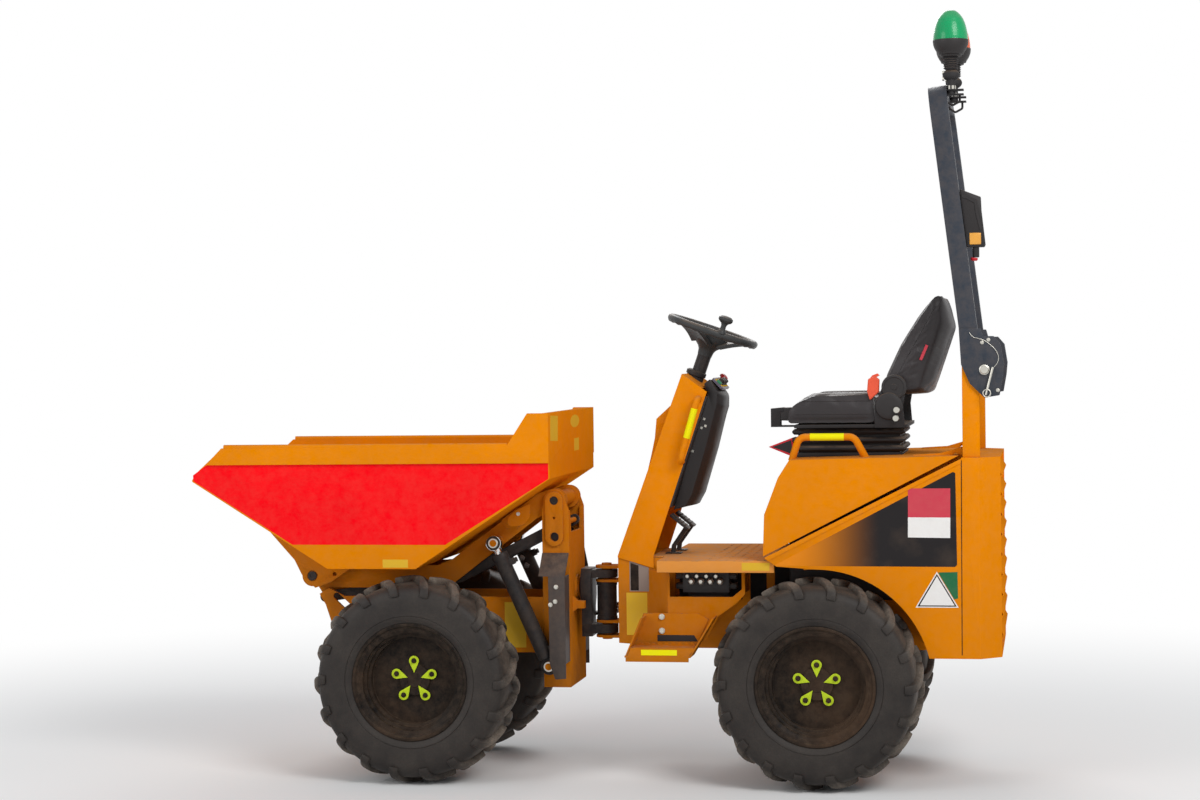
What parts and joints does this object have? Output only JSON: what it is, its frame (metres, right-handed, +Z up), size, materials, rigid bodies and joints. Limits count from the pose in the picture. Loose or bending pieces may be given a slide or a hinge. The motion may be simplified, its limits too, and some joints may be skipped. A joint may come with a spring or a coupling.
{
  "type": "articulated high-tip site dumper",
  "caption": "Compact articulated site dumper with a high-tip skip on a lift frame, folding roll-over hoop, seat over the engine cover and four lugged wheels.",
  "frame": {"origin": "on the ground under the middle of the overall length and width", "axes": "+X forward towards the skip, +Y to the machine's left, +Z up"},
  "size_m": [2.986, 0.99, 2.773],
  "materials": {
    "amber_lens": "translucent",
    "black_paint": "satin",
    "black_plastic": "moulded",
    "chrome_rod": "polished",
    "dark_grey_paint": "matte",
    "engine_grey": "cast",
    "green_lens": "translucent",
    "orange_paint": "semi-gloss",
    "red_paint": "semi-gloss",
    "seat_vinyl": "satin",
    "tyre_rubber": "matte"
  },
  "bodies": {
    "rear_chassis": {"rear_frame": "orange_paint", "rear_axle": "black_paint", "engine": "engine_grey", "footplate": "orange_paint", "side_sills": "orange_paint", "steps": "orange_paint", "steering_tower": "orange_paint", "console": "black_plastic", "rear_body": "orange_paint", "rear_grille": "orange_paint", "rops_posts": "orange_paint", "steering_column": "black_plastic", "control_valve": "engine_grey", "pedals": "black_paint"},
    "yoke": {"yoke": "black_paint"},
    "steer_ram_barrel": {"steer_ram_barrel": "black_paint"},
    "steer_ram_rod": {"steer_ram_rod": "chrome_rod"},
    "front_chassis": {"mast": "orange_paint", "mast_doublers": "orange_paint", "front_frame": "orange_paint", "front_axle": "black_paint", "ram_guards": "dark_grey_paint"},
    "lift_frame": {"lift_frame": "orange_paint"},
    "levelling_links": {"levelling_links": "dark_grey_paint"},
    "skip_carriage": {"skip_carriage": "orange_paint"},
    "skip": {"skip_tub": "red_paint", "skip_brackets": "orange_paint"},
    "lift_ram_barrel_left": {"lift_ram_barrel_left": "black_paint"},
    "lift_ram_barrel_right": {"lift_ram_barrel_right": "black_paint"},
    "lift_ram_rod_left": {"lift_ram_rod_left": "chrome_rod"},
    "lift_ram_rod_right": {"lift_ram_rod_right": "chrome_rod"},
    "tip_ram_barrel": {"tip_ram_barrel": "black_paint"},
    "tip_ram_rod": {"tip_ram_rod": "chrome_rod"},
    "engine_cover": {"engine_cover": "orange_paint", "deck_handles": "orange_paint", "seat_suspension": "black_plastic", "seat_cushion": "seat_vinyl", "seat_back": "seat_vinyl"},
    "rops": {"rops_hoop": "black_paint", "lamp_holder": "black_plastic", "marker_lamp": "amber_lens", "beacon_mount": "black_plastic", "beacon_lens": "green_lens", "amber_beacon_mount": "black_plastic", "amber_beacon_lens": "amber_lens"},
    "steering_wheel": {"steering_wheel": "black_plastic"},
    "wheel_front_left": {"tyre_front_left": "tyre_rubber", "rim_front_left": "black_paint"},
    "wheel_front_right": {"tyre_front_right": "tyre_rubber", "rim_front_right": "black_paint"},
    "wheel_rear_left": {"tyre_rear_left": "tyre_rubber", "rim_rear_left": "black_paint"},
    "wheel_rear_right": {"tyre_rear_right": "tyre_rubber", "rim_rear_right": "black_paint"}
  },
  "joints": [
    {"name": "articulation", "type": "hinge", "parent": "rear_chassis", "child": "yoke", "pos_m": [0.006, 0, 0.632], "axis": [0, 0, 1], "range_deg": [-33, 33]},
    {"name": "oscillation", "type": "hinge", "parent": "yoke", "child": "front_chassis", "pos_m": [0.097, 0, 0.686], "axis": [1, 0, 0], "range_deg": [-10, 10]},
    {"name": "wheel_spin_front_left", "type": "hinge", "parent": "front_chassis", "child": "wheel_front_left", "pos_m": [0.655, 0.363, 0.38], "axis": [0, 1, 0], "continuous": true},
    {"name": "wheel_spin_front_right", "type": "hinge", "parent": "front_chassis", "child": "wheel_front_right", "pos_m": [0.655, -0.363, 0.38], "axis": [0, 1, 0], "continuous": true},
    {"name": "wheel_spin_rear_left", "type": "hinge", "parent": "rear_chassis", "child": "wheel_rear_left", "pos_m": [-0.825, 0.363, 0.38], "axis": [0, 1, 0], "continuous": true},
    {"name": "wheel_spin_rear_right", "type": "hinge", "parent": "rear_chassis", "child": "wheel_rear_right", "pos_m": [-0.825, -0.363, 0.38], "axis": [0, 1, 0], "continuous": true},
    {"name": "lift", "type": "hinge", "parent": "front_chassis", "child": "lift_frame", "pos_m": [0.174, 0, 1.022], "axis": [0, -1, 0], "range_deg": [0, 50]},
    {"name": "carriage_level", "type": "hinge", "parent": "lift_frame", "child": "skip_carriage", "pos_m": [1.115, 0, 0.738], "axis": [0, -1, 0], "range_deg": [-51, 1]},
    {"name": "link_swing", "type": "hinge", "parent": "front_chassis", "child": "levelling_links", "pos_m": [0.146, 0, 0.935], "axis": [0, -1, 0], "range_deg": [-1, 51]},
    {"name": "tip", "type": "hinge", "parent": "skip_carriage", "child": "skip", "pos_m": [1.115, 0, 0.738], "axis": [0, 1, 0], "range_deg": [0, 75]},
    {"name": "lift_ram_swing_left", "type": "hinge", "parent": "front_chassis", "child": "lift_ram_barrel_left", "pos_m": [0.191, 0.19, 0.407], "axis": [0, -1, 0], "range_deg": [-1, 5.52]},
    {"name": "lift_ram_stroke_left", "type": "slide", "parent": "lift_ram_barrel_left", "child": "lift_ram_rod_left", "axis": [0.4111, 0, 0.9116], "range_m": [-0.002, 0.2277]},
    {"name": "lift_ram_swing_right", "type": "hinge", "parent": "front_chassis", "child": "lift_ram_barrel_right", "pos_m": [0.191, -0.19, 0.407], "axis": [0, -1, 0], "range_deg": [-1, 5.52]},
    {"name": "lift_ram_stroke_right", "type": "slide", "parent": "lift_ram_barrel_right", "child": "lift_ram_rod_right", "axis": [0.4111, 0, 0.9116], "range_m": [-0.002, 0.2277]},
    {"name": "tip_ram_swing", "type": "hinge", "parent": "skip_carriage", "child": "tip_ram_barrel", "pos_m": [0.66, 0, 0.694], "axis": [0, -1, 0], "range_deg": [-1, 15.17]},
    {"name": "tip_ram_stroke", "type": "slide", "parent": "tip_ram_barrel", "child": "tip_ram_rod", "axis": [0.9847, 0, 0.1743], "range_m": [-0.002, 0.1592]},
    {"name": "steer_ram_swing", "type": "hinge", "parent": "rear_chassis", "child": "steer_ram_barrel", "pos_m": [-0.335, -0.15, 0.6], "axis": [0, 0, 1], "range_deg": [-2.95, 2.95]},
    {"name": "steer_ram_stroke", "type": "slide", "parent": "steer_ram_barrel", "child": "steer_ram_rod", "axis": [0.9986, 0.0535, 0], "range_m": [-0.0731, 0.0731]},
    {"name": "rops_fold", "type": "hinge", "parent": "rear_chassis", "child": "rops", "pos_m": [-1.426, 0, 1.494], "axis": [0, -1, 0], "range_deg": [0, 95]},
    {"name": "cover_open", "type": "hinge", "parent": "rear_chassis", "child": "engine_cover", "pos_m": [-1.331, 0, 1.206], "axis": [0, -1, 0], "range_deg": [0, 45]},
    {"name": "steering_wheel_turn", "type": "hinge", "parent": "rear_chassis", "child": "steering_wheel", "pos_m": [-0.411, 0, 1.648], "axis": [-0.3355, 0, 0.9421], "continuous": true}
  ],
  "couplings": [
    {"joint": "carriage_level", "follows": "lift", "ratio": -1},
    {"joint": "link_swing", "follows": "lift", "ratio": 1},
    {"joint": "lift_ram_swing_left", "follows": "lift", "ratio": 0.09038},
    {"joint": "lift_ram_stroke_left", "follows": "lift", "m_per_rad": 0.25866},
    {"joint": "lift_ram_swing_right", "follows": "lift", "ratio": 0.09038},
    {"joint": "lift_ram_stroke_right", "follows": "lift", "m_per_rad": 0.25866},
    {"joint": "tip_ram_swing", "follows": "tip", "ratio": 0.18895},
    {"joint": "tip_ram_stroke", "follows": "tip", "m_per_rad": 0.12006},
    {"joint": "steer_ram_swing", "follows": "articulation", "ratio": -0.05908},
    {"joint": "steer_ram_stroke", "follows": "articulation", "m_per_rad": 0.12337}
  ]
}
